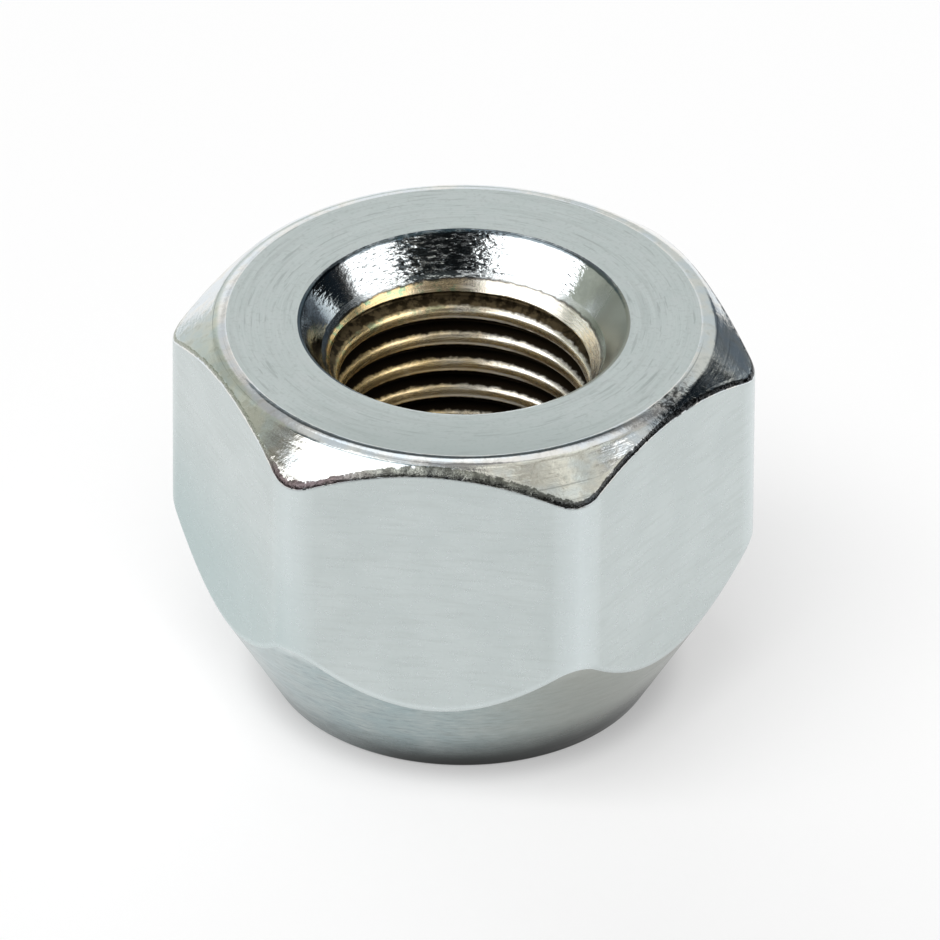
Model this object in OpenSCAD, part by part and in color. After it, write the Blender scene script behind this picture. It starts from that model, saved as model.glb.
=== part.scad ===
// Open-ended wheel lug nut: a hexagon with a conical seat at its foot, a chamfered
// top face, and a countersunk bore that goes right through for the wheel stud.
// It stands on its seat end: the origin is at the centre of the foot, +Z up the bore.

/* [Hexagon] */
// Width across the wrench flats
across_flats = 20.6; // [18:0.1:24.8]
// Height from the foot to the flat top face
overall_height = 16.2; // [13.5:0.1:20]
// Radius that rounds the six upright corners
corner_r = 1.7; // [0.4:0.1:3]

/* [Top face] */
// Diameter at which the corner chamfer would meet the top face
chamfer_d = 19.6; // [18:0.1:20.6]
// Slope of the corner chamfer below the horizontal
chamfer_angle = 40; // [25:1:50]
// Radius that rounds the top face over into the chamfer
rim_r = 1; // [0.2:0.1:1.6]

/* [Conical seat] */
// Included angle of the seat's cone
seat_angle = 60; // [50:1:90]
// Diameter at which the seat would meet the foot's plane
seat_small_d = 15.3; // [13:0.1:18]
// Radius that rounds the seat over into the foot
foot_r = 0.3; // [0.1:0.05:0.6]

/* [Bore] */
// Diameter of the plain bore, which is the crest diameter of the stud's thread
bore_d = 9.9; // [8:0.1:11.8]
// Radial width of the lead-in ring above the bore
lead_in_w = 0.5; // [0.1:0.05:0.8]
// Included angle of the lead-in ring
lead_in_angle = 90; // [60:1:120]
// Depth of the countersink, from the top face down to the lead-in ring
countersink_depth = 1.65; // [0.5:0.05:3]
// Included angle of the countersink
countersink_angle = 65; // [50:1:90]
// Radius that rounds the countersink's mouth
mouth_r = 0.2; // [0.05:0.05:0.4]
// Radial width of the chamfer where the bore leaves the foot
exit_w = 0.8; // [0.2:0.1:1.2]
// Included angle of that chamfer
exit_angle = 90; // [60:1:120]

/* [Hidden] */
$fn = 120;
SIDES = 6;
SIDE_ANGLE = 360 / SIDES;
// How far the turned outline runs past the hexagon's corners
OVER = 0.2;
// Rounding arcs are drawn a little large, to cross their two sides at this angle
CREASE = 4;

// Radial width that a cone of an included angle covers over a height, and the reverse
function cone_w(height, angle) = height * tan(angle / 2);
function cone_h(width, angle) = width / tan(angle / 2);
// An edge that turns by an angle, rounded by a radius, starts its arc this far away
function setback(radius, turn) = radius * tan(turn / 2);
function polar(radius, angle) = radius * [cos(angle), sin(angle)];

// Hexagon: the sharp corners' radius, and where the corner arcs are centred
sharp_corner_r = across_flats / 2 / cos(SIDE_ANGLE / 2);
arc_centre_r = (across_flats / 2 - corner_r) / cos(SIDE_ANGLE / 2);

// Heights and radii of the bore, from the foot up
bore_radius = bore_d / 2;
exit_radius = bore_radius + exit_w;
exit_z = cone_h(exit_w, exit_angle);
lead_in_radius = bore_radius + lead_in_w;
lead_in_z = overall_height - countersink_depth;
bore_top_z = lead_in_z - cone_h(lead_in_w, lead_in_angle);
mouth_radius = lead_in_radius + cone_w(countersink_depth, countersink_angle);

// Turned outline: the seat and the chamfer both run out past the corners
seat_radius = seat_small_d / 2;
chamfer_radius = chamfer_d / 2;
outer_radius = sharp_corner_r + OVER;
seat_top_z = cone_h(outer_radius - seat_radius, seat_angle);
chamfer_foot_z = overall_height - (outer_radius - chamfer_radius) * tan(chamfer_angle);
seat_turn = 90 - seat_angle / 2;
mouth_turn = 90 - countersink_angle / 2;

// What rounding takes off the edge at tip: all that lies past the arc. The arc turns
// through an angle from start_angle, and its centre is the radius away from both sides.
module edge_waste(tip, centre, radius, start_angle, turn) {
    start = centre + polar(radius, start_angle);
    end = centre + polar(radius, start_angle + turn);
    difference() {
        polygon([2 * start - end, 2 * tip - centre, 2 * end - start]);
        translate(centre) circle(r = radius / cos(CREASE));
    }
}

// Plan of the hexagon, with an arc at each corner
module rounded_hexagon() {
    difference() {
        circle(r = sharp_corner_r, $fn = SIDES);
        for (corner = [0 : SIDES - 1])
            rotate(SIDE_ANGLE * corner)
                edge_waste([sharp_corner_r, 0], [arc_centre_r, 0], corner_r,
                           -SIDE_ANGLE / 2, SIDE_ANGLE);
    }
}

// Half section of the turned surfaces, from the bore out past the corners
module turned_section() {
    foot_edge = [seat_radius, 0];
    rim_edge = [chamfer_radius, overall_height];
    mouth_edge = [mouth_radius, overall_height];
    difference() {
        polygon([
            [exit_radius, 0],
            foot_edge,
            [outer_radius, seat_top_z],
            [outer_radius, chamfer_foot_z],
            rim_edge,
            mouth_edge,
            [lead_in_radius, lead_in_z],
            [bore_radius, bore_top_z],
            [bore_radius, exit_z]
        ]);
        edge_waste(foot_edge, foot_edge + [-setback(foot_r, seat_turn), foot_r],
                   foot_r, -90, seat_turn);
        edge_waste(rim_edge, rim_edge - [setback(rim_r, chamfer_angle), rim_r],
                   rim_r, 90 - chamfer_angle, chamfer_angle);
        edge_waste(mouth_edge, mouth_edge + [setback(mouth_r, mouth_turn), -mouth_r],
                   mouth_r, 90, mouth_turn);
    }
}

module lug_nut() {
    color("silver")
    intersection() {
        rotate_extrude() turned_section();
        linear_extrude(height = overall_height) rounded_hexagon();
    }
}

lug_nut();
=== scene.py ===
import math

import bpy
import numpy as np
from mathutils import Matrix, Vector


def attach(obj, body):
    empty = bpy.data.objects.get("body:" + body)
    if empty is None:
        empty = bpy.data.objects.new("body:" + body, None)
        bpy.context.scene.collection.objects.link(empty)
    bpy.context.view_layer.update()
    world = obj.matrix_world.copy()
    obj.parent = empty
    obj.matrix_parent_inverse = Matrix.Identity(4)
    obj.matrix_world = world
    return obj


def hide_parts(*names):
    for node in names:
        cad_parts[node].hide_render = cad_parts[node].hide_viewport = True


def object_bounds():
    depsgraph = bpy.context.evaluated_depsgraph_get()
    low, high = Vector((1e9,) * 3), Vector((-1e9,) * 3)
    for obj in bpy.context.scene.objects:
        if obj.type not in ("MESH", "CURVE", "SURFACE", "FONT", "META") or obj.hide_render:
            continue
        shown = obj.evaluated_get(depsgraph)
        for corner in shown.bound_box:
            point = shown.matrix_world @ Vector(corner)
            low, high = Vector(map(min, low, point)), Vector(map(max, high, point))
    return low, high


# The nut as one closed mesh with its thread, in worn plated steel, on a white floor

MM = 0.001

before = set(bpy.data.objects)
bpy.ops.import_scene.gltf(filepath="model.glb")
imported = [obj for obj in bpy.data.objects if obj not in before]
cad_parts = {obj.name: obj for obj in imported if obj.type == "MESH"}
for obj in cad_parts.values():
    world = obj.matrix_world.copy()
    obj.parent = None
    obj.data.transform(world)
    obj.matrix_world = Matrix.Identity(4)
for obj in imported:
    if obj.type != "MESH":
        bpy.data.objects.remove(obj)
cad_low, cad_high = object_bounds()

# The nut's sizes in millimetres. The overall ones come from the frame.
HEIGHT = (cad_high.z - cad_low.z) / MM
ACROSS_FLATS = (cad_high.y - cad_low.y) / MM
CORNER_R = 1.7
CHAMFER_R = 19.6 / 2
CHAMFER_SLOPE = math.radians(40)
RIM_R = 1.0
SEAT_R = 15.3 / 2
SEAT_HALF_ANGLE = math.radians(60 / 2)
FOOT_R = 0.3
BORE_R = 9.9 / 2
LEAD_IN_W = 0.5
COUNTERSINK_DEPTH = 1.65
COUNTERSINK_HALF_ANGLE = math.radians(65 / 2)
MOUTH_R = 0.2
EXIT_W = 0.8

# Softening of the edges that the CAD leaves sharp
FACE_CHAMFER_R = 0.45
FACE_SEAT_R = 0.8
EXIT_EDGE_R = 0.1
BLEND = 0.05

# 7/16-20 thread: its crests stand at the bore's radius
PITCH = 25.4 / 20
THREAD_DEPTH = 0.605
CREST_R = 0.34
ROOT_R = 0.1
FLANK = math.radians(60)
CREST_Z_AT_BACK = 13.18
# The side of the bore where the oil has tinted it, as an angle about the axis
GOLDEN_SIDE = math.radians(186)

SIDES = 6
SIDE = 2 * math.pi / SIDES

# The camera, from the photograph's perspective
CAMERA_AZIMUTH = math.radians(-83.6)
CAMERA_ELEVATION = math.radians(34.45)
CAMERA_ROLL = math.radians(0.34)
CAMERA_DISTANCE = 997.0
FIELD_WIDTH = 37.45
AIM_RIGHT = 0.28
AIM_UP = 0.78

# Sides of the nut as the camera sees it, as angles about the axis. The countersink's tool marks
# are strongest on one side of its back, and the seat's painted shade is darkest on one side of its
# front.
FRONT_SIDE = CAMERA_AZIMUTH
RIGHT_SIDE = CAMERA_AZIMUTH + math.radians(75)
LEFT_SIDE = CAMERA_AZIMUTH - math.radians(75)
BACK_SIDE = CAMERA_AZIMUTH + math.pi
MARKS_SIDE = CAMERA_AZIMUTH + math.radians(190)
DARK_SIDE = CAMERA_AZIMUTH + math.radians(15)

# The white background, and the floor's own colour with a glow that brings it up to the same white
WHITE = 0.985
FLOOR_TONE = 0.44
FLOOR_GLOW = 0.545
# A painted contact shadow: the floor glows less in a ring this wide round the seat, and least under the
# bore
CONTACT_W = 1.6
CONTACT_GLOW = 0.74
BORE_GLOW = 0.35
# Half the floor's side, and its height: a little under the foot
FLOOR_HALF = 3000.0
FLOOR_Z = -0.01
# The black card: its tone, where it starts and ends in degrees from the camera's direction, how
# far round each of its faces goes, and its size
CARD_TONE = 0.02
CARD_FROM, CARD_TO, CARD_STEP = -95, 125, 5
CARD_R = 75.0
CARD_HEIGHT = 24.0


# ---------------------------------------------------------------- geometry

def off_corner(angle):
    """The angle to the nearest of the hexagon's corners. Two of them lie on +X and -X."""
    return np.abs((angle + SIDE / 2) % SIDE - SIDE / 2)


def hexagon_radius(angle):
    """Radius of the hexagon's rounded plan at each angle."""
    a = off_corner(angle)
    flat = ACROSS_FLATS / 2 / np.cos(SIDE / 2 - a)
    centre = (ACROSS_FLATS / 2 - CORNER_R) / math.cos(SIDE / 2)
    arc = centre * np.cos(a) + np.sqrt(np.maximum(CORNER_R**2 - (centre * np.sin(a)) ** 2, 0))
    last = math.atan2(CORNER_R * math.sin(SIDE / 2), centre + CORNER_R * math.cos(SIDE / 2))
    return np.where(a < last, arc, flat)


def columns():
    """Angles of the mesh's columns, closer together round each corner."""
    near, far = math.radians(7), SIDE / 2
    half = np.concatenate([np.linspace(0, near, 10)[:-1], np.linspace(near, far, 16)])
    sector = np.concatenate([-half[:0:-1], half])[:-1]
    return np.concatenate([sector + k * SIDE for k in range(SIDES)])


def unit(v):
    return v / np.maximum(np.linalg.norm(v, axis=-1, keepdims=True), 1e-12)


def rounded_path(corners, radii, arc_steps, line_steps):
    """A path through corners with each inner one rounded. Each corner is an array of (r, z),
    one row for each column. Returns the path's points, their outward normals in the section
    plane, and how far round an arc each point is: 2.5 is the middle of the third inner
    corner's arc, and -1 is on no arc."""
    n = len(corners)
    cuts = []
    for i in range(1, n - 1):
        a, b = unit(corners[i - 1] - corners[i]), unit(corners[i + 1] - corners[i])
        turn = math.pi - np.arccos(np.clip((a * b).sum(-1), -1, 1))
        back = radii[i - 1] * np.tan(turn / 2)
        cuts.append((corners[i] + a * back[:, None], corners[i] + b * back[:, None], turn))
    points, normals, arcs = [], [], []
    for i in range(n - 1):
        start = corners[0] if i == 0 else cuts[i - 1][1]
        end = corners[-1] if i == n - 2 else cuts[i][0]
        along = unit(corners[i + 1] - corners[i])
        across = np.stack([along[:, 1], -along[:, 0]], -1)
        steps = line_steps[i]
        for s in range(steps + 1):
            points.append(start + (end - start) * (s / steps))
            normals.append(across)
            arcs.append(-1)
        if i < n - 2:
            start, _, turn = cuts[i]
            onward = unit(corners[i + 2] - corners[i + 1])
            after = np.stack([onward[:, 1], -onward[:, 0]], -1)
            side = np.sign((across * onward).sum(-1))[:, None]
            centre = start + across * side * radii[i]
            for s in range(1, arc_steps[i]):
                t = s / arc_steps[i]
                share, rest = np.sin(t * turn)[:, None], np.sin((1 - t) * turn)[:, None]
                mid = unit(rest * across + share * after)
                points.append(centre - mid * side * radii[i])
                normals.append(mid)
                arcs.append(i + t)
    return np.stack(points, 1), np.stack(normals, 1), arcs


LEAD_IN_R = BORE_R + LEAD_IN_W
LEAD_IN_Z = HEIGHT - COUNTERSINK_DEPTH
BORE_TOP_Z = LEAD_IN_Z - LEAD_IN_W
EXIT_R = BORE_R + EXIT_W
# The thread's mesh runs between these heights, past where its root leaves the metal
THREAD_TOP_Z = LEAD_IN_Z + 0.3
THREAD_BOTTOM_Z = 0.12
# Closer than this to either end, a row's points join the ring there
END_GAP = 0.02
# Slopes are taken between points this far to either side
NUDGE = 1e-5
# How many steps the section's arcs and lines are cut into, from the bore's foot end round
ARC_STEPS = [4, 6, 8, 12, 16, 10]
LINE_STEPS = [1, 4, 10, 12, 8, 10, 8]


def countersink_radius(z):
    return LEAD_IN_R + (z - LEAD_IN_Z) * math.tan(COUNTERSINK_HALF_ANGLE)


def shell_section(angle):
    """The outside, from the foot's end of the bore round to the countersink."""
    hex_r = hexagon_radius(angle)
    z_seat = (hex_r - SEAT_R) / math.tan(SEAT_HALF_ANGLE)
    z_chamfer = HEIGHT - (hex_r - CHAMFER_R) * math.tan(CHAMFER_SLOPE)
    same = np.ones_like(angle)

    def at(r, z):
        return np.stack([r * same, z * same], -1)

    corners = [
        at(EXIT_R - THREAD_BOTTOM_Z, THREAD_BOTTOM_Z),
        at(EXIT_R, 0),
        at(SEAT_R, 0),
        at(hex_r, z_seat),
        at(hex_r, z_chamfer),
        at(CHAMFER_R, HEIGHT),
        at(countersink_radius(HEIGHT), HEIGHT),
        at(countersink_radius(THREAD_TOP_Z), THREAD_TOP_Z),
    ]
    radii = [EXIT_EDGE_R, FOOT_R, FACE_SEAT_R, FACE_CHAMFER_R, RIM_R, MOUTH_R]
    return rounded_path(corners, radii, ARC_STEPS, LINE_STEPS)


# The mesh's regions, which take a material each, and the ones that the section's lines and
# arcs belong to
FOOT, SEAT, FACE, CHAMFER, TOP, COUNTERSINK, BORE = range(7)
LINE_REGIONS = [FOOT, FOOT, SEAT, FACE, CHAMFER, TOP, COUNTERSINK]
ARC_REGIONS = [FOOT, FOOT, FACE, CHAMFER, CHAMFER, COUNTERSINK]
# Places on the section's arcs: the middle of the face's top edge, and then the middle of each
# line that runs round the nut and half its width
FACE_EDGE = 3.5
RIM_LINE = (4.84, 0.2)
CREASE_LINE = (4.06, 0.12)
SEAT_LINE = (2.5, 0.5)
# How far the rubbed upright corners, with their painted highlight, reach to each side
WEAR_AND_HIGHLIGHT_ANGLE = math.radians(5.5)
# Half the width of the chamfer's bruised edge, which is also painted dark as a reflection: on the
# left, at the corner after that, in the middle and on the right. Its middle lies this share of
# that up from the face's edge.
BRUISE_AND_DARK_LEFT, BRUISE_AND_DARK_CORNER, BRUISE_AND_DARK_MIDDLE, BRUISE_AND_DARK_RIGHT = 0.13, 0.22, 0.32, 0.17
BRUISE_AND_DARK_SHIFT = 0.4
# The parts of the chamfer's arcs that are as satin as what they run into
SATIN_ARCS = [(3.0, 3.3, FACE), (4.94, 5.0, TOP)]

# The thread's profile: half a crest's flat, then its arc, the flank, and the root's arc and flat
FLANK_Z = (THREAD_DEPTH - (CREST_R + ROOT_R) * (1 - math.cos(FLANK))) / math.tan(FLANK)
FLAT_Z = (PITCH / 2 - FLANK_Z - (CREST_R + ROOT_R) * math.sin(FLANK)) / 2
CREST_END = FLAT_Z + CREST_R * math.sin(FLANK)
ROOT_START = CREST_END + FLANK_Z


def thread_depth(angle, z):
    """How far the right-hand thread is cut into the bore's wall: 0 on its crests."""
    phase = (z - CREST_Z_AT_BACK) / PITCH - (angle - BACK_SIDE) / (2 * math.pi)
    s = np.abs((phase + 0.5) % 1 - 0.5) * PITCH
    on_crest = CREST_R - np.sqrt(np.maximum(CREST_R**2 - np.clip(s - FLAT_Z, 0, None) ** 2, 0))
    on_flank = CREST_R * (1 - math.cos(FLANK)) + (s - CREST_END) * math.tan(FLANK)
    from_root = np.clip(PITCH / 2 - FLAT_Z - s, 0, None)
    on_root = THREAD_DEPTH - ROOT_R + np.sqrt(np.maximum(ROOT_R**2 - from_root**2, 0))
    return np.where(s < CREST_END, on_crest, np.where(s < ROOT_START, on_flank, on_root))


def rise(value, low, high):
    """Goes smoothly from 0 at low to 1 at high."""
    t = np.clip((value - low) / (high - low), 0, 1)
    return t * t * (3 - 2 * t)


def on_line(arc, line):
    """1 in the middle of a line on the section's arcs, and 0 from its edges on."""
    middle, half = line
    return max(0, 1 - abs(arc - middle) / half)


def cones_radius(z):
    """Radius of the lead-in, countersink or exit chamfer at a height, whichever is widest."""
    return np.maximum(np.maximum(BORE_R + (z - BORE_TOP_Z), EXIT_R - z), countersink_radius(z))


def thread_radius(angle, z):
    return smooth_max(BORE_R + thread_depth(angle, z), cones_radius(z))


def smooth_max(a, b):
    """The larger of two radii, with a small fillet where they cross."""
    near = np.clip(BLEND - np.abs(a - b), 0, None)
    return np.maximum(a, b) + near**2 / (4 * BLEND)


def thread_rows():
    """Fractions of a pitch at which the helical rows lie, closer together on the rounded crest."""
    crest = np.linspace(0, CREST_END, 7)
    flank = np.linspace(CREST_END, ROOT_START, 3)
    root = np.linspace(ROOT_START, PITCH / 2, 3)
    half = np.unique(np.concatenate([crest, flank, root]).round(6)) / PITCH
    return np.concatenate([half, 1 - half[-2:0:-1]])


def to_space(r, angle, z):
    """Points from their radius, angle about the axis and height."""
    return np.stack([r * np.cos(angle), r * np.sin(angle), z + 0 * r], -1)


def thread_point(angle, z):
    return to_space(thread_radius(angle, z), angle, z)


def thread_normal(angle, z):
    turn = thread_point(angle + NUDGE, z) - thread_point(angle - NUDGE, z)
    up = thread_point(angle, z + NUDGE) - thread_point(angle, z - NUDGE)
    return unit(np.cross(up, turn))


def thread_heights(theta):
    """Heights of the thread's helical rows on each column. They run past both of its ends."""
    start = CREST_Z_AT_BACK - BACK_SIDE / (2 * math.pi) * PITCH
    first = math.floor((THREAD_BOTTOM_Z - start) / PITCH) - 1
    turns = math.ceil((THREAD_TOP_Z - THREAD_BOTTOM_Z) / PITCH) + 3
    level = np.concatenate([first + i + thread_rows() for i in range(turns)]) * PITCH + start
    return level[None, :] + (theta[:, None] / (2 * math.pi)) * PITCH


def groove_depth(angle, z):
    """How deep in the thread's groove a point lies: 0 on the crest and 1 at the root."""
    cut = thread_depth(angle, z)
    return np.clip((BORE_R + cut - cones_radius(z)) / BLEND, 0, 1) * cut / THREAD_DEPTH


def shell_point(theta):
    section = shell_section(theta)[0]
    return to_space(section[..., 0], theta[:, None], section[..., 1])


def shell_normal(theta):
    normals = shell_section(theta)[1]
    turn = shell_point(theta + NUDGE) - shell_point(theta - NUDGE)
    # the meridian's direction is the section's normal turned back by a quarter
    along = to_space(-normals[..., 1], theta[:, None], normals[..., 0])
    return unit(np.cross(turn, along))


def section_regions(arcs):
    """The region that starts at each of the section's points. The last point keeps the last one."""
    line = np.cumsum([0] + [a >= 0 and b < 0 for a, b in zip(arcs, arcs[1:])])
    regions = []
    for k in range(len(arcs) - 1):
        arc = max(arcs[k], arcs[k + 1])
        region = ARC_REGIONS[int(arc)] if arc >= 0 else LINE_REGIONS[line[k]]
        for first, last, satin in SATIN_ARCS:
            region = satin if first < arc < last else region
        regions.append(region)
    return regions + regions[-1:]


def as_seen(theta):
    """Angles about the axis in degrees from the camera's direction, between -180 and 180."""
    return np.degrees((theta - CAMERA_AZIMUTH + math.pi) % (2 * math.pi) - math.pi)


def between(seen, start, full, fade, end):
    """A stretch round the nut: 0 up to its start, 1 from full to fade, and 0 from its end on."""
    return rise(seen, start, full) * (1 - rise(seen, fade, end))


def wear_and_highlight_edges(theta, arcs, regions):
    """Wear with a painted highlight at each point: on the upright corners, and where the faces meet the
    seat.
    """
    corner = np.clip(1 - off_corner(theta) / WEAR_AND_HIGHLIGHT_ANGLE, 0, 1) ** 0.7
    # the painted highlight is brighter on the corners to the camera's right, and on the seat's edge to
    # its left
    corner = corner * (1 + 0.4 * rise(as_seen(theta), -10, 20))
    seat_edge = 0.75 - 0.25 * np.sin(theta - CAMERA_AZIMUTH)
    wear_and_highlight = []
    for arc, region in zip(arcs, regions):
        edge = seat_edge * rise(on_line(arc, SEAT_LINE), 0, 1)
        wear_and_highlight.append(np.maximum(edge, corner) if region == FACE else edge)
    return np.stack(wear_and_highlight, 1)


def dark_reflection_edges(theta, arcs):
    """How much painted dark reflection each point has: along the rim, and in the crease under it on the
    left.
    """
    rim = 1.3 * between(as_seen(theta), -75, -50, 25, 55)
    crease = 0.75 * between(as_seen(theta), -48, -38, -8, 8)
    lines = [rim * on_line(arc, RIM_LINE) + crease * on_line(arc, CREASE_LINE) for arc in arcs]
    return np.stack(lines, 1)


def bruise_and_dark_reflection_edge(theta, section, arcs, regions):
    """How bruised and painted dark each point is, by how far up the section it lies from the face's top
    edge.
    """
    seen = as_seen(theta)
    steps = np.linalg.norm(np.diff(section, axis=1), axis=-1)
    along = np.concatenate([np.zeros((len(theta), 1)), np.cumsum(steps, axis=1)], axis=1)
    from_edge = along - along[:, [arcs.index(FACE_EDGE)]]
    # its width changes round the nut
    half = BRUISE_AND_DARK_LEFT + (BRUISE_AND_DARK_CORNER - BRUISE_AND_DARK_LEFT) * rise(seen, -46, -40)
    half = half + (BRUISE_AND_DARK_MIDDLE - BRUISE_AND_DARK_CORNER) * rise(seen, -30, -8)
    half = half + (BRUISE_AND_DARK_RIGHT - BRUISE_AND_DARK_MIDDLE) * rise(seen, 14, 26)
    half = half[:, None]
    bruise_and_dark_reflection = np.clip(1 - np.abs(from_edge - BRUISE_AND_DARK_SHIFT * half) / half, 0, 1)
    # on the right the chamfer is a little bruised, and painted a little dark, all over where it is
    # narrow
    narrow = 0.27 * between(seen, 44, 54, 60, 70)[:, None]
    return np.where(np.array(regions) == CHAMFER, np.maximum(bruise_and_dark_reflection, narrow), bruise_and_dark_reflection)


def nut_faces(shell, thread, regions):
    """The faces and their regions. shell and thread give the number of the point at each
    column and row, and the thread's rows repeat the shell's end rings past its own ends."""
    faces, face_regions = [], []
    n = len(shell)
    for j in range(n):
        j2 = (j + 1) % n
        for k in range(shell.shape[1] - 1):
            faces.append((shell[j, k], shell[j2, k], shell[j2, k + 1], shell[j, k + 1]))
            face_regions.append(regions[k])
        # a row comes round to the first column one turn of the thread higher
        step = len(thread_rows()) if j2 == 0 else 0
        for k in range(thread.shape[1] - 1 - step):
            loop = [thread[j, k + 1], thread[j2, k + 1 + step], thread[j2, k + step], thread[j, k]]
            face = [v for i, v in enumerate(loop) if v != loop[i - 1]]
            if len(set(face)) == len(face) > 2:
                faces.append(tuple(face))
                face_regions.append(BORE)
    return faces, face_regions


def build_nut():
    theta = columns()
    section, _, arcs = shell_section(theta)
    regions = section_regions(arcs)
    shell = np.arange(section[..., 0].size).reshape(section.shape[:2])

    # the thread's rows are helical, and join the shell's end rings where they run past them
    z = thread_heights(theta)
    above, below = z >= THREAD_TOP_Z - END_GAP, z <= THREAD_BOTTOM_Z + END_GAP
    inside = ~(above | below)
    thread = np.where(above, shell[:, -1:], shell[:, :1])
    thread[inside] = shell.size + np.arange(inside.sum())
    angle, z = np.broadcast_to(theta[:, None], z.shape)[inside], z[inside]

    points = np.concatenate([shell_point(theta).reshape(-1, 3), thread_point(angle, z)]) * MM
    normals = np.concatenate([shell_normal(theta).reshape(-1, 3), thread_normal(angle, z)])
    clean_shell, clean_thread = np.zeros(shell.shape), np.zeros(z.shape)
    marks = {
        "wear_and_highlight": (wear_and_highlight_edges(theta, arcs, regions), clean_thread),
        "dark_reflection": (dark_reflection_edges(theta, arcs), clean_thread),
        "bruise_and_dark_reflection": (bruise_and_dark_reflection_edge(theta, section, arcs, regions), clean_thread),
        "groove": (clean_shell, groove_depth(angle, z)),
    }

    faces, face_regions = nut_faces(shell, thread, regions)
    mesh = bpy.data.meshes.new("nut_body")
    mesh.from_pydata(points.tolist(), [], [tuple(map(int, f)) for f in faces])
    mesh.update()
    mesh.polygons.foreach_set("material_index", face_regions)
    mesh.polygons.foreach_set("use_smooth", [True] * len(faces))
    for name, (on_shell, on_thread) in marks.items():
        values = np.concatenate([on_shell.ravel(), on_thread])
        mesh.attributes.new(name, "FLOAT", "POINT").data.foreach_set("value", values)
    mesh.normals_split_custom_set_from_vertices(normals.tolist())
    nut = bpy.data.objects.new("nut_body", mesh)
    bpy.context.scene.collection.objects.link(nut)
    return nut


# ---------------------------------------------------------------- materials

class Nodes:
    """Short names for building a node tree."""

    def __init__(self, tree):
        self.tree = tree
        tree.nodes.clear()

    def add(self, kind, **settings):
        node = self.tree.nodes.new(kind)
        for key, value in settings.items():
            setattr(node, key, value)
        return node

    def link(self, value, socket):
        if isinstance(value, bpy.types.NodeSocket):
            self.tree.links.new(value, socket)
        else:
            socket.default_value = value

    def math(self, operation, *values, clamp=False):
        node = self.add("ShaderNodeMath", operation=operation, use_clamp=clamp)
        for value, socket in zip(values, node.inputs):
            self.link(value, socket)
        return node.outputs[0]

    def vector(self, operation, *values):
        node = self.add("ShaderNodeVectorMath", operation=operation)
        for value, socket in zip(values, node.inputs):
            self.link(value, socket)
        return node.outputs["Value" if operation == "LENGTH" else "Vector"]

    def combine(self, x, y, z):
        node = self.add("ShaderNodeCombineXYZ")
        for value, socket in zip((x, y, z), node.inputs):
            self.link(value, socket)
        return node.outputs[0]

    def separate(self, vector):
        node = self.add("ShaderNodeSeparateXYZ")
        self.link(vector, node.inputs[0])
        return node.outputs

    def ramp(self, value, low, high, to_low=0.0, to_high=1.0):
        node = self.add("ShaderNodeMapRange", interpolation_type="SMOOTHSTEP")
        names = ("Value", "From Min", "From Max", "To Min", "To Max")
        for name, v in zip(names, (value, low, high, to_low, to_high)):
            self.link(v, node.inputs[name])
        return node.outputs["Result"]

    def mix(self, factor, a, b):
        node = self.add("ShaderNodeMix", data_type="RGBA")
        self.link(factor, node.inputs["Factor"])
        # these numbers are the colours' sockets
        self.link(a, node.inputs[6])
        self.link(b, node.inputs[7])
        return node.outputs[2]

    def noise(self, vector, scale, detail=2.0, roughness=0.5):
        node = self.add("ShaderNodeTexNoise")
        self.link(vector, node.inputs["Vector"])
        node.inputs["Scale"].default_value = scale
        node.inputs["Detail"].default_value = detail
        node.inputs["Roughness"].default_value = roughness
        return node.outputs["Fac"]


def colour(r, g, b):
    return (r, g, b, 1.0)


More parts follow.
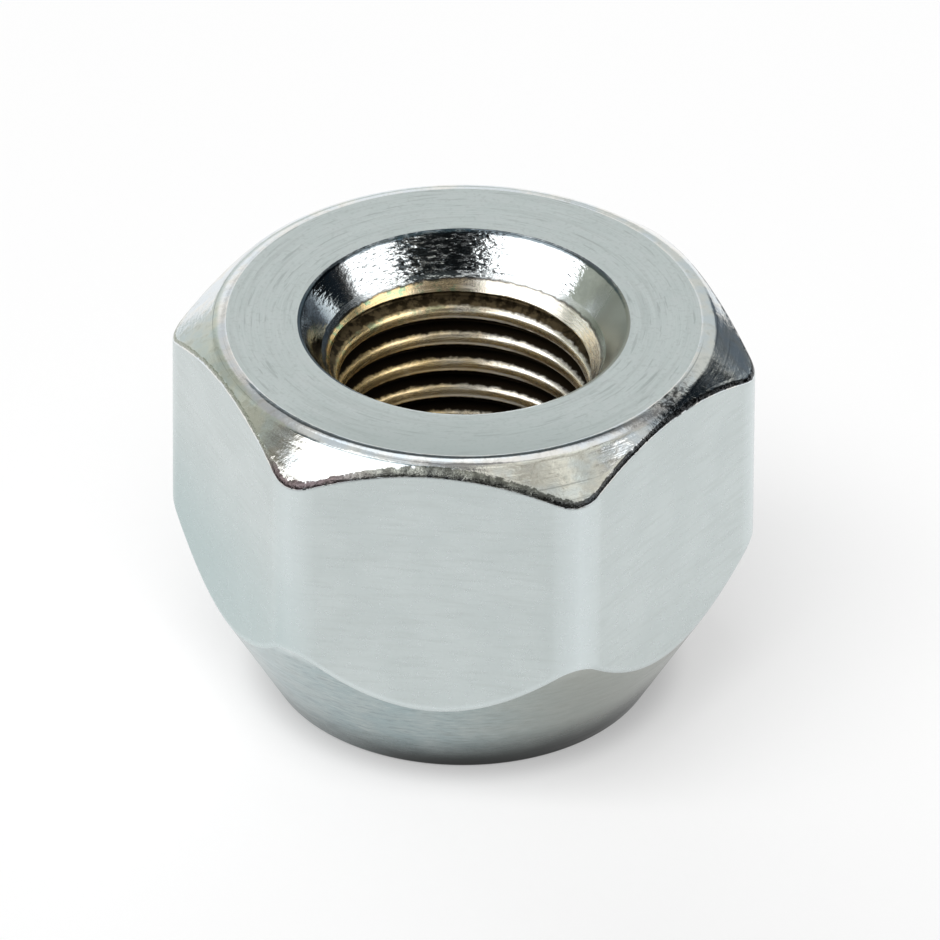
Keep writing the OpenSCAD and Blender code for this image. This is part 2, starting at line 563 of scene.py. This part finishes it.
class Metal(Nodes):
    """A plated metal. Its patterns are set out in millimetres on the object."""

    def __init__(self, name):
        self.material = bpy.data.materials.new(name)
        self.material.use_nodes = True
        super().__init__(self.material.node_tree)
        place = self.add("ShaderNodeTexCoord").outputs["Object"]
        self.place = self.vector("MULTIPLY", place, (1 / MM,) * 3)
        self.x, self.y, self.z = self.separate(self.place)
        self.radius = self.vector("LENGTH", self.combine(self.x, self.y, 0.0))

    def attribute(self, name):
        return self.add("ShaderNodeAttribute", attribute_name=name).outputs["Fac"]

    def shifted(self, value, noise, reach):
        """The value moved up and down by a noise."""
        return self.math("ADD", value, self.math("MULTIPLY", self.math("SUBTRACT", noise, 0.5), reach))

    def toward(self, angle):
        """How far a point lies on one side of the axis, in millimetres."""
        across = self.math("MULTIPLY", self.x, math.cos(angle))
        return self.math("ADD", across, self.math("MULTIPLY", self.y, math.sin(angle)))

    def facing(self, angle):
        """1 where a point lies straight to one side of the axis, and 0 a quarter turn away."""
        return self.math("DIVIDE", self.toward(angle), self.radius)

    def band(self, value, middle, half):
        """1 in the middle of a band and 0 from its edges on."""
        off = self.math("ABSOLUTE", self.math("SUBTRACT", value, middle))
        return self.math("SUBTRACT", 1.0, self.math("DIVIDE", off, half), clamp=True)

    def painted_dark_line(self, base, dark, where, least, most):
        """A painted dark reflection: a line that runs unevenly along an edge."""
        ragged = self.noise(self.place, 2.0, detail=3.0, roughness=0.6)
        wander = self.noise(self.place, 0.35, detail=1.0)
        line = self.shifted(self.shifted(where, ragged, 0.8), wander, 0.6)
        return self.mix(self.ramp(line, least, most, 0.0, 0.85), base, dark)

    def rings(self, along, fineness, stretch):
        """Turning marks: fine across, long round the axis."""
        across = self.math("MULTIPLY", along, fineness)
        x = self.math("MULTIPLY", self.x, stretch)
        y = self.math("MULTIPLY", self.y, stretch)
        return self.noise(self.combine(across, x, y), 1.0, detail=3.0, roughness=0.6)

    def bump(self, height, distance, after=None):
        node = self.add("ShaderNodeBump")
        self.link(height, node.inputs["Height"])
        node.inputs["Distance"].default_value = distance * MM
        if after is not None:
            self.link(after, node.inputs["Normal"])
        return node.outputs["Normal"]

    def finish(self, base, roughness, normal, metallic=1.0):
        shader = self.add("ShaderNodeBsdfPrincipled")
        shader.inputs["Metallic"].default_value = metallic
        self.link(base, shader.inputs["Base Color"])
        self.link(roughness, shader.inputs["Roughness"])
        self.link(normal, shader.inputs["Normal"])
        out = self.add("ShaderNodeOutputMaterial")
        self.tree.links.new(shader.outputs[0], out.inputs["Surface"])
        return self.material


def satin_faces():
    m = Metal("satin_faces")
    mottle = m.noise(m.place, 0.5, detail=3.0)
    grain = m.noise(m.place, 4.0, detail=2.0)
    base = m.mix(m.ramp(mottle, 0.3, 0.7), colour(0.565, 0.62, 0.615), colour(0.60, 0.655, 0.65))
    brushed = m.rings(m.z, 5.0, 0.5)
    base = m.mix(m.ramp(brushed, 0.45, 0.7, 0.0, 0.6), base, colour(0.53, 0.58, 0.57))
    base = m.mix(m.ramp(grain, 0.3, 0.8, 0.0, 0.2), base, colour(0.62, 0.67, 0.66))
    # painted highlight on the rubbed upright corners and along the seat's edge
    base = m.mix(m.math("MULTIPLY", m.attribute("wear_and_highlight"), 0.7), base, colour(0.70, 0.765, 0.77))
    rough = m.ramp(grain, 0.3, 0.7, 0.27, 0.31)
    # painted shade: on the left the faces are darker low down
    dullness_and_shade = m.math("MULTIPLY", m.ramp(m.toward(LEFT_SIDE), 7.5, 11.0), m.ramp(m.z, 6.0, 13.0, 0.85, 0.0))
    base = m.mix(dullness_and_shade, base, colour(0.42, 0.52, 0.52))
    return m.finish(base, rough, m.bump(mottle, 0.006))


def turned_top():
    m = Metal("turned_top")
    rings = m.rings(m.radius, 4.0, 0.15)
    fine = m.rings(m.radius, 22.0, 0.5)
    scratches = m.rings(m.radius, 8.0, 0.6)
    mottle = m.noise(m.place, 1.3, detail=4.0)
    grain = m.noise(m.place, 6.0, detail=3.0)
    base = m.mix(m.ramp(fine, 0.3, 0.7), colour(0.445, 0.50, 0.49), colour(0.50, 0.55, 0.54))
    base = m.mix(m.ramp(mottle, 0.35, 0.75, 0.0, 0.6), base, colour(0.50, 0.54, 0.535))
    base = m.mix(m.ramp(rings, 0.5, 0.7, 0.0, 0.4), base, colour(0.36, 0.395, 0.385))
    base = m.mix(m.ramp(scratches, 0.58, 0.68, 0.0, 0.5), base, colour(0.27, 0.30, 0.295))
    base = m.mix(m.ramp(grain, 0.52, 0.70, 0.0, 0.45), base, colour(0.37, 0.41, 0.40))
    base = m.mix(m.ramp(m.toward(FRONT_SIDE), 5.5, 9.5, 0.0, 0.6), base, colour(0.33, 0.38, 0.37))
    rough = m.ramp(fine, 0.3, 0.7, 0.34, 0.40)
    normal = m.bump(fine, 0.002, m.bump(rings, 0.008))
    # it scatters a little, so that it is not black where it faces a dark room
    return m.finish(base, rough, normal, metallic=0.72)


def polished_chamfer():
    m = Metal("polished_chamfer")
    rings = m.rings(m.math("SUBTRACT", m.radius, m.z), 5.0, 0.2)
    pits = m.noise(m.place, 2.2, detail=5.0, roughness=0.6)
    tint = m.noise(m.place, 1.1, detail=2.0)
    right = m.ramp(m.toward(RIGHT_SIDE), 5.0, 7.5)
    left = m.ramp(m.toward(LEFT_SIDE), 5.0, 8.0)
    base = m.mix(m.ramp(tint, 0.35, 0.65), colour(0.76, 0.81, 0.84), colour(0.86, 0.85, 0.81))
    base = m.mix(m.ramp(pits, 0.5, 0.75, 0.0, 0.5), base, colour(0.55, 0.57, 0.55))
    scratches = m.rings(m.radius, 6.0, 0.08)
    base = m.mix(m.ramp(scratches, 0.6, 0.68, 0.0, 0.55), base, colour(0.36, 0.38, 0.38))
    # painted dark reflection along the rim, and in the crease under it on the left
    base = m.painted_dark_line(base, colour(0.20, 0.25, 0.265), m.attribute("dark_reflection"), least=0.30, most=0.58)
    # the edge over the faces is bruised, and painted dark as a reflection: olive and brown on the
    # left, grey in the middle and black on the right
    dents = m.ramp(m.noise(m.place, 3.2, detail=4.0, roughness=0.65), 0.36, 0.64)
    bruise_and_dark_reflection = m.attribute("bruise_and_dark_reflection")
    edge = m.ramp(m.math("MULTIPLY", bruise_and_dark_reflection, m.math("ADD", dents, 0.6)), 0.25, 0.45)
    dark = m.mix(m.ramp(pits, 0.4, 0.6), colour(0.30, 0.31, 0.27), colour(0.09, 0.095, 0.08))
    dark = m.mix(right, dark, colour(0.012, 0.015, 0.017))
    at_front = m.ramp(m.toward(FRONT_SIDE), 7.2, 8.8)
    brown = m.mix(at_front, colour(0.40, 0.42, 0.36), colour(0.085, 0.055, 0.06))
    dark = m.mix(left, dark, brown)
    base = m.mix(m.math("MULTIPLY", edge, 0.92), base, dark)
    rougher = m.math("MULTIPLY", edge, m.ramp(right, 0.0, 1.0, 0.14, 0.04))
    rough = m.math("ADD", m.ramp(rings, 0.3, 0.7, 0.06, 0.14), rougher)
    dented = m.math("MULTIPLY", dents, bruise_and_dark_reflection)
    normal = m.bump(dented, 0.02, m.bump(pits, 0.010, m.bump(rings, 0.004)))
    return m.finish(base, rough, normal)


# The chatter's depth, and how fine the countersink's patterns are along each axis
CHATTER = 0.033
CHATTER_SCALE = (3.4, 3.4, 8.5)
MARK_SCALE = (2.4, 2.4, 9.0)


def chatter_height(m):
    """The countersink's tool marks: short waves in rows round the cone, which are strongest at
    the back and weakest on the right."""
    waves = m.noise(m.vector("MULTIPLY", m.place, CHATTER_SCALE), 1.0, detail=2.0, roughness=0.55)
    rings = m.rings(m.z, 9.0, 0.35)
    height = m.math("ADD", m.math("MULTIPLY", waves, 0.9), m.math("MULTIPLY", rings, 0.1))
    at_back = m.ramp(m.facing(MARKS_SIDE), 0.80, 0.97, 0.35, 1.4)
    elsewhere = m.ramp(m.facing(RIGHT_SIDE), 0.5, 0.8, 1.0, 0.3)
    return m.math("MULTIPLY", height, m.math("MULTIPLY", at_back, elsewhere))


def aged_silver_and_painted_reflections(m):
    """The countersink's plating, with painted dark reflections: dark blue on the left and dark
    olive on the right. It has dark marks at the back."""
    dullness_and_shade = m.noise(m.place, 1.6, detail=4.0, roughness=0.6)
    base = m.mix(m.ramp(dullness_and_shade, 0.35, 0.65), colour(0.70, 0.74, 0.75), colour(0.82, 0.86, 0.87))
    base = m.mix(m.ramp(m.facing(LEFT_SIDE), 0.66, 0.90), base, colour(0.09, 0.115, 0.14))
    base = m.mix(m.ramp(m.facing(RIGHT_SIDE), 0.60, 0.85), base, colour(0.26, 0.275, 0.24))
    dashes = m.noise(m.vector("MULTIPLY", m.place, MARK_SCALE), 1.0, detail=3.0, roughness=0.65)
    marks = m.shifted(m.ramp(m.facing(MARKS_SIDE), 0.86, 1.0), dashes, 2.2)
    return m.mix(m.ramp(marks, 0.75, 1.0, 0.0, 0.95), base, colour(0.025, 0.035, 0.04))


def countersink():
    m = Metal("chattered_countersink")
    base = aged_silver_and_painted_reflections(m)
    # a painted dark reflection: a dark line follows the mouth round the back
    mouth = m.math("MULTIPLY", m.band(m.z, HEIGHT - 0.05, 0.12), m.ramp(m.toward(MARKS_SIDE), -3.0, 3.0))
    base = m.painted_dark_line(base, colour(0.05, 0.08, 0.10), mouth, least=0.3, most=0.75)
    height = chatter_height(m)
    duller = m.ramp(m.facing(RIGHT_SIDE), 0.6, 0.85, 0.0, 0.25)
    rough = m.math("ADD", m.ramp(height, 0.3, 0.7, 0.06, 0.13), duller)
    return m.finish(base, rough, m.bump(height, CHATTER))


def tapped_bore():
    m = Metal("tapped_bore")
    drags = m.rings(m.z, 14.0, 0.5)
    patches = m.noise(m.place, 0.8, detail=3.0)
    flecks = m.noise(m.place, 2.2, detail=4.0, roughness=0.65)
    golden = m.ramp(m.shifted(m.toward(GOLDEN_SIDE), patches, 7.0), -3.0, 3.5)
    base = m.mix(golden, colour(0.88, 0.85, 0.77), colour(0.86, 0.66, 0.35))
    # oil left by the tap shows green in places on the golden side
    first_turn = m.ramp(m.z, BORE_TOP_Z - PITCH, BORE_TOP_Z)
    oil = m.math("MULTIPLY", golden, first_turn)
    base = m.mix(m.math("MULTIPLY", oil, m.ramp(flecks, 0.5, 0.6)), base, colour(0.42, 0.58, 0.36))
    # painted shade: the grooves are darkened by their depth, and the first one less so
    galling = m.noise(m.place, 5.0, detail=3.0, roughness=0.65)
    groove = m.shifted(m.shifted(m.attribute("groove"), galling, 0.35), flecks, 0.3)
    groove_shade = m.ramp(groove, 0.12, 0.4)
    flecked = m.ramp(flecks, 0.42, 0.58)
    streaked = m.mix(flecked, colour(0.035, 0.026, 0.014), colour(0.15, 0.115, 0.065))
    base = m.mix(groove_shade, base, m.mix(first_turn, colour(0.014, 0.010, 0.006), streaked))
    # above the lead-in it is the countersink, with a dark ragged line between them
    edge = m.shifted(m.z, flecks, 0.2)
    above = m.ramp(edge, LEAD_IN_Z, LEAD_IN_Z + 0.05)
    base = m.mix(above, base, aged_silver_and_painted_reflections(m))
    joint = m.math("MULTIPLY", m.band(edge, LEAD_IN_Z + 0.02, 0.07), 0.9)
    base = m.mix(joint, base, colour(0.06, 0.05, 0.04))
    rough = m.math("ADD", m.ramp(drags, 0.3, 0.7, 0.20, 0.28), m.math("MULTIPLY", groove_shade, 0.25))
    worked = m.math("ADD", m.math("MULTIPLY", drags, 0.25), m.math("MULTIPLY", galling, 0.2))
    height = m.mix(above, worked, chatter_height(m))
    return m.finish(base, rough, m.bump(height, CHATTER))


def seat_cone():
    m = Metal("seat_cone")
    rings = m.rings(m.z, 7.0, 0.4)
    mottle = m.noise(m.place, 0.8, detail=4.0)
    base = m.mix(m.ramp(mottle, 0.3, 0.7), colour(0.33, 0.41, 0.42), colour(0.38, 0.44, 0.44))
    streaks = m.rings(m.z, 8.0, 1.5)
    base = m.mix(m.ramp(streaks, 0.5, 0.68, 0.0, 0.45), base, colour(0.22, 0.26, 0.26))
    base = m.mix(m.ramp(streaks, 0.32, 0.46, 0.4, 0.0), base, colour(0.50, 0.56, 0.56))
    # painted highlight along the rubbed edge where the seat meets the faces
    base = m.mix(m.math("MULTIPLY", m.attribute("wear_and_highlight"), 0.7), base, colour(0.72, 0.78, 0.78))
    # painted shade: the seat is warmer and darker on the right, where the floor it reflects is shadowed,
    # and darkens towards the foot, where it reflects the contact shadow; it is rougher there too
    right = m.toward(RIGHT_SIDE)
    base = m.mix(m.ramp(right, 0.0, 8.0, 0.0, 0.8), base, colour(0.33, 0.34, 0.30))
    height = m.math("SUBTRACT", m.shifted(m.z, mottle, 0.6), m.math("MULTIPLY", right, 0.07))
    dark_side = m.toward(DARK_SIDE)
    foot = m.math("MULTIPLY", m.ramp(height, 0.0, 2.4, 1.0, 0.0), m.ramp(dark_side, 3.0, 7.5, 0.5, 1.0))
    base = m.mix(foot, base, colour(0.045, 0.052, 0.050))
    # painted shade: a near-black line along the bottom of the seat, strongest on one side of its front
    line = m.math("MULTIPLY", m.ramp(m.z, 0.0, 1.3, 1.0, 0.0), m.ramp(dark_side, 5.0, 7.8, 0.0, 0.95))
    base = m.mix(line, base, colour(0.010, 0.012, 0.011))
    rough = m.math("ADD", m.ramp(rings, 0.3, 0.7, 0.20, 0.26), m.math("MULTIPLY", foot, 0.08))
    normal = m.bump(rings, 0.0015, m.bump(mottle, 0.006))
    return m.finish(base, rough, normal)


# ---------------------------------------------------------------- studio

class Studio(Nodes):
    """The room that the metal reflects, painted on the world. Angles are as the camera sees them:
    azimuth 0 is towards the camera, positive to its right, and 180 is behind the object."""

    def __init__(self):
        world = bpy.data.worlds.new("studio")
        world.use_nodes = True
        super().__init__(world.node_tree)
        turned = self.add("ShaderNodeVectorRotate", rotation_type="Z_AXIS")
        self.link(self.add("ShaderNodeTexCoord").outputs["Generated"], turned.inputs["Vector"])
        turned.inputs["Angle"].default_value = -CAMERA_AZIMUTH
        self.direction = turned.outputs[0]
        x, y, z = self.separate(self.direction)
        self.azimuth = self.math("ARCTAN2", y, x)
        self.elevation = self.math("ARCSINE", z)
        self.light = None
        bpy.context.scene.world = world

    def panel(self, azimuth, elevation, width, height, tone, soft, soft_up=None):
        """Lays a panel over what is there. Sizes and softness are in degrees."""
        away = self.math("SUBTRACT", self.azimuth, math.radians(azimuth))
        off_side = self.math("ABSOLUTE", self.math("WRAP", away, math.pi, -math.pi))
        off_up = self.math("ABSOLUTE", self.math("SUBTRACT", self.elevation, math.radians(elevation)))
        soft_up = soft if soft_up is None else soft_up
        inside = self.math(
            "MULTIPLY", self.within(off_side, width / 2, soft), self.within(off_up, height / 2, soft_up))
        self.light = self.mix(inside, self.light, tone)

    def within(self, off, half, soft):
        """1 where an angle is less than half a width, and 0 past it. The width is in degrees."""
        return self.ramp(off, math.radians(half - soft), math.radians(half + soft), 1.0, 0.0)

    def mottled(self, tone, other_tone, fineness):
        """A tone that is broken up by another one."""
        spots = self.noise(self.direction, fineness, detail=3.0, roughness=0.6)
        return self.mix(self.ramp(spots, 0.4, 0.6), tone, other_tone)

    def finish(self, floor_light, background):
        """The metal sees the panels over the background. The camera sees the background alone,
        and the floor gets its own soft light."""
        light = self.mix(seen_ray(self), floor_light, self.light)
        light = self.mix(self.add("ShaderNodeLightPath").outputs["Is Camera Ray"], light, background)
        shader = self.add("ShaderNodeBackground")
        self.link(light, shader.inputs["Color"])
        out = self.add("ShaderNodeOutputWorld")
        self.tree.links.new(shader.outputs[0], out.inputs["Surface"])


def seen_ray(nodes):
    """1 where the camera sees something, directly, in metal or through glass."""
    rays = nodes.add("ShaderNodeLightPath").outputs
    direct = nodes.math("MAXIMUM", rays["Is Camera Ray"], rays["Is Glossy Ray"])
    return nodes.math("MAXIMUM", direct, rays["Is Transmission Ray"])


def grey(value):
    return colour(value, value, value)


BLACK = colour(0.008, 0.012, 0.016)
SLATE = colour(0.12, 0.14, 0.16)


def build_studio():
    s = Studio()
    # the floor is lit from high on the left, and a little from low behind
    s.light = grey(0.0)
    s.panel(-30, 65, 120, 36, grey(5.4), soft=8)
    s.panel(-160, 20, 60, 26, grey(4.24), soft=6)
    floor_light = s.light
    # the metal sees the white background, with lamps and cards in front of it
    s.light = grey(WHITE)
    # behind: grey walls to the left and right, and a joint under the overhead light
    s.panel(-128, 12, 60, 74, colour(0.58, 0.62, 0.55), soft=6)
    s.panel(-168, -4, 50, 34, colour(0.62, 0.66, 0.63), soft=6)
    s.panel(-163, 36, 26, 14, grey(0.68), soft=3)
    s.panel(-134, 30, 28, 28, colour(0.40, 0.43, 0.37), soft=4)
    s.panel(143, 18, 70, 58, colour(0.62, 0.65, 0.64), soft=6)
    s.panel(180, 50, 360, 14, grey(0.45), soft=4)
    s.panel(160, 48, 76, 12, grey(0.20), soft=3)
    s.panel(-100, 67, 150, 22, colour(0.64, 0.67, 0.68), soft=4)
    s.panel(-165, 66, 44, 18, colour(1.2, 1.25, 1.3), soft=4)
    # over the camera: a mottled warm ceiling on the right, and a darker one in the middle
    s.panel(180, 88, 360, 14, grey(0.27), soft=2)
    s.panel(58, 66, 96, 34, s.mottled(colour(0.36, 0.35, 0.31), colour(0.95, 0.96, 0.88), 9.0), soft=4)
    s.panel(-12, 67, 48, 32, s.mottled(grey(0.12), grey(0.46), 9.0), soft=4)
    s.panel(3, 60, 18, 38, grey(0.10), soft=4)
    # towards the camera: a dark room, with a soft box on each side, and olive past the left one
    s.panel(3, 21, 196, 60, s.mottled(grey(0.012), grey(0.10), 7.0), soft=3)
    s.panel(-100, 22, 30, 56, colour(0.40, 0.42, 0.36), soft=3)
    s.panel(-94, 43, 11, 15, colour(0.20, 0.19, 0.16), soft=4)
    s.panel(-60, 42, 56, 54, grey(2.2), soft=2)
    s.panel(-40, 28, 48, 26, grey(2.2), soft=2)
    s.panel(67, 31, 44, 34, grey(2.0), soft=5, soft_up=2)
    s.panel(36, 30, 14, 32, colour(0.20, 0.19, 0.17), soft=5)
    # behind on the right: black, and slate low down with a black line over it
    s.panel(114, 22, 34, 42, BLACK, soft=3)
    s.panel(95, 43, 14, 14, colour(0.60, 0.64, 0.66), soft=3)
    s.panel(134, 4, 22, 22, SLATE, soft=2)
    s.panel(127, 10, 9, 22, SLATE, soft=2)
    s.panel(148, 2, 18, 18, SLATE, soft=2)
    s.panel(131, 17, 8, 5, BLACK, soft=1)
    s.finish(floor_light, grey(WHITE))


def plain_shader(name, tone, glow):
    """A matt surface that glows a little where the camera sees it. A painted contact shadow makes it
    glow less by the nut's foot and least under its bore."""
    material = bpy.data.materials.new(name)
    material.use_nodes = True
    n = Nodes(material.node_tree)
    matt = n.add("ShaderNodeBsdfDiffuse")
    matt.inputs["Color"].default_value = grey(tone)
    light = n.add("ShaderNodeEmission")
    place = n.add("ShaderNodeTexCoord").outputs["Object"]
    radius = n.vector("LENGTH", place)
    # painted contact shadow: less glow round the seat, and least under the bore
    clear = n.math(
        "MULTIPLY",
        n.ramp(radius, BORE_R * MM, SEAT_R * MM, BORE_GLOW, 1.0),
        n.ramp(radius, SEAT_R * MM, (SEAT_R + CONTACT_W) * MM, CONTACT_GLOW, 1.0),
    )
    n.link(n.math("MULTIPLY", seen_ray(n), n.math("MULTIPLY", clear, glow)), light.inputs["Strength"])
    both = n.add("ShaderNodeAddShader")
    n.link(matt.outputs[0], both.inputs[0])
    n.link(light.outputs[0], both.inputs[1])
    out = n.add("ShaderNodeOutputMaterial")
    n.link(both.outputs[0], out.inputs["Surface"])
    return material


def stage_mesh(name, points, faces, material):
    mesh = bpy.data.meshes.new(name)
    mesh.from_pydata(points, [], faces)
    mesh.materials.append(material)
    obj = bpy.data.objects.new(name, mesh)
    bpy.context.scene.collection.objects.link(obj)
    return obj


def build_floor():
    half, low = FLOOR_HALF * MM, FLOOR_Z * MM
    points = [(-half, -half, low), (half, -half, low), (half, half, low), (-half, half, low)]
    stage_mesh("floor", points, [(0, 1, 2, 3)], plain_shader("white_sweep", FLOOR_TONE, FLOOR_GLOW))


def build_card():
    """A low black card that stands round the front of the nut. Only the metal sees it, and it
    gives the edges their dark line."""
    points = []
    for azimuth in range(CARD_FROM, CARD_TO + 1, CARD_STEP):
        a = CAMERA_AZIMUTH + math.radians(azimuth)
        for z in (0, CARD_HEIGHT):
            points.append((CARD_R * MM * math.cos(a), CARD_R * MM * math.sin(a), z * MM))
    faces = [(i, i + 2, i + 3, i + 1) for i in range(0, len(points) - 2, 2)]
    card = stage_mesh("black_card", points, faces, plain_shader("black_card", CARD_TONE, 0.0))
    card.visible_camera = card.visible_diffuse = card.visible_shadow = False


def build_camera():
    data = bpy.data.cameras.new("camera")
    camera = bpy.data.objects.new("camera", data)
    bpy.context.scene.collection.objects.link(camera)
    data.lens = data.sensor_width * CAMERA_DISTANCE / FIELD_WIDTH
    data.clip_start, data.clip_end = 0.1, 20
    a, e = CAMERA_AZIMUTH, CAMERA_ELEVATION
    out = Vector((math.cos(a) * math.cos(e), math.sin(a) * math.cos(e), math.sin(e)))
    right = Vector((-math.sin(a), math.cos(a), 0))
    up = out.cross(right)
    centre = (cad_low + cad_high) / 2
    aim = centre + (right * AIM_RIGHT + up * AIM_UP) * MM
    camera.location = aim + out * CAMERA_DISTANCE * MM
    turned = Matrix.Rotation(CAMERA_ROLL, 3, out)
    axes = Matrix((turned @ right, turned @ up, out)).transposed()
    camera.rotation_euler = axes.to_euler()
    bpy.context.scene.camera = camera


def main():
    build_camera()
    build_studio()
    build_floor()
    build_card()
    nut = build_nut()
    seat = seat_cone()
    # one for each region, in their order
    materials = [
        seat, seat, satin_faces(), polished_chamfer(), turned_top(), countersink(), tapped_bore()]
    for material in materials:
        nut.data.materials.append(material)
    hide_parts("lug_nut")
    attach(nut, "root")


main()
bpy.context.scene.view_settings.view_transform = "Standard"
